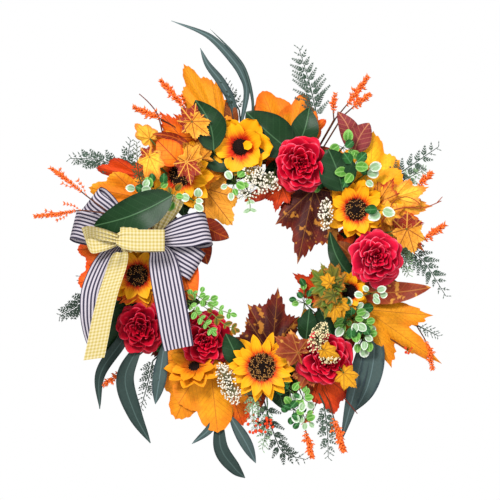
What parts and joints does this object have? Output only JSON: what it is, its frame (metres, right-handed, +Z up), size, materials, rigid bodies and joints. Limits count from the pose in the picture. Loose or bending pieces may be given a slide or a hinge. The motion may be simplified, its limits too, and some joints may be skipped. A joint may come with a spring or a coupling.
{
  "type": "harvest door wreath",
  "caption": "Round grapevine wreath dressed with silk sunflowers, crimson peonies, autumn leaves and sprays, with a double ribbon bow and a wire hanging loop.",
  "frame": {"origin": "point inside the wire hanging loop where a door hook bears", "axes": "+Z up, front faces -Y, door behind on the +Y side, +X to the right seen from the front"},
  "size_m": [0.488, 0.1157, 0.551],
  "materials": {
    "vine": "dry bark",
    "wire": "satin",
    "petals": "silk",
    "seeds": "flocked",
    "peony": "silk",
    "pumpkin_leaf": "printed silk",
    "orange_leaf": "printed silk",
    "gold_leaf": "printed silk",
    "burgundy_leaf": "printed silk",
    "rust_leaf": "printed silk",
    "green_leaf": "printed silk",
    "willow": "dusty",
    "fern": "matte",
    "heather": "matte",
    "white_flower": "matte",
    "variegated": "printed silk",
    "striped_ribbon": "ticking stripe weave",
    "gingham_ribbon": "gingham weave"
  },
  "bodies": {
    "wreath": {"vine_strand_1": "vine", "vine_strand_2": "vine", "vine_strand_3": "vine", "vine_strand_4": "vine", "vine_binding_1": "vine", "vine_binding_2": "vine", "hanger_wrap": "wire", "sunflower_upper_left_petals": "petals", "sunflower_upper_left_seeds": "seeds", "sunflower_top_petals": "petals", "sunflower_top_seeds": "seeds", "sunflower_upper_right_petals": "petals", "sunflower_upper_right_seeds": "seeds", "sunflower_right_petals": "petals", "sunflower_right_seeds": "seeds", "sunflower_bottom_petals": "petals", "sunflower_bottom_seeds": "seeds", "sunflower_left_petals": "petals", "sunflower_left_seeds": "seeds", "sunflower_lower_left_petals": "petals", "peony_top": "peony", "peony_right": "peony", "peony_lower_left": "peony", "peony_bottom_left": "peony", "peony_lower_right": "peony", "maple_pick_top_left": "pumpkin_leaf", "maple_pick_left": "orange_leaf", "maple_leaf_outer_left": "orange_leaf", "maple_pick_top": "gold_leaf", "maple_pick_upper_right": "gold_leaf", "maple_pick_right": "orange_leaf", "folded_leaf_right": "rust_leaf", "maple_leaf_lower_right": "pumpkin_leaf", "maple_pick_bottom_right": "orange_leaf", "maple_leaf_bottom_left": "pumpkin_leaf", "burgundy_leaf_top": "burgundy_leaf", "burgundy_leaf_bottom": "burgundy_leaf", "golden_leaves_inner": "gold_leaf", "dark_leaves_top": "green_leaf", "dark_leaf_bow": "green_leaf", "willow_spray_top": "willow", "willow_spray_bottom_left": "willow", "willow_spray_bottom": "willow", "willow_spray_lower_right": "willow", "fern_spray_top": "fern", "fern_spray_right": "fern", "fern_spray_bottom": "fern", "heather_spray_left": "heather", "white_flower_spray": "white_flower", "variegated_spray": "variegated", "bow_tie_wire": "wire"},
    "bow": {"bow_knot": "gingham_ribbon", "stripe_loops_left": "striped_ribbon", "stripe_loops_right": "striped_ribbon", "gingham_loop_left": "gingham_ribbon", "gingham_loops_right": "gingham_ribbon"},
    "hanging_loop": {"hanging_loop": "wire"},
    "stripe_tail_right": {"stripe_tail_right": "striped_ribbon"},
    "stripe_tail_left": {"stripe_tail_left": "striped_ribbon"},
    "gingham_tail": {"gingham_tail": "gingham_ribbon"}
  },
  "joints": [
    {"name": "hanging_loop_fold", "type": "hinge", "parent": "wreath", "child": "hanging_loop", "pos_m": [0, 0, -0.018], "axis": [-1, 0, 0], "range_deg": [-20, 170]},
    {"name": "bow_swivel", "type": "hinge", "parent": "wreath", "child": "bow", "pos_m": [-0.138, -0.086, -0.147], "axis": [0, -1, 0], "range_deg": [-8, 8]},
    {"name": "stripe_tail_right_lift", "type": "hinge", "parent": "bow", "child": "stripe_tail_right", "pos_m": [-0.109, -0.08, -0.17], "axis": [-1, 0, 0], "range_deg": [0, 60]},
    {"name": "stripe_tail_left_lift", "type": "hinge", "parent": "bow", "child": "stripe_tail_left", "pos_m": [-0.172, -0.08, -0.17], "axis": [-1, 0, 0], "range_deg": [0, 50]},
    {"name": "gingham_tail_lift", "type": "hinge", "parent": "stripe_tail_left", "child": "gingham_tail", "pos_m": [-0.162, -0.09, -0.17], "axis": [-1, 0, 0], "range_deg": [0, 35]}
  ]
}
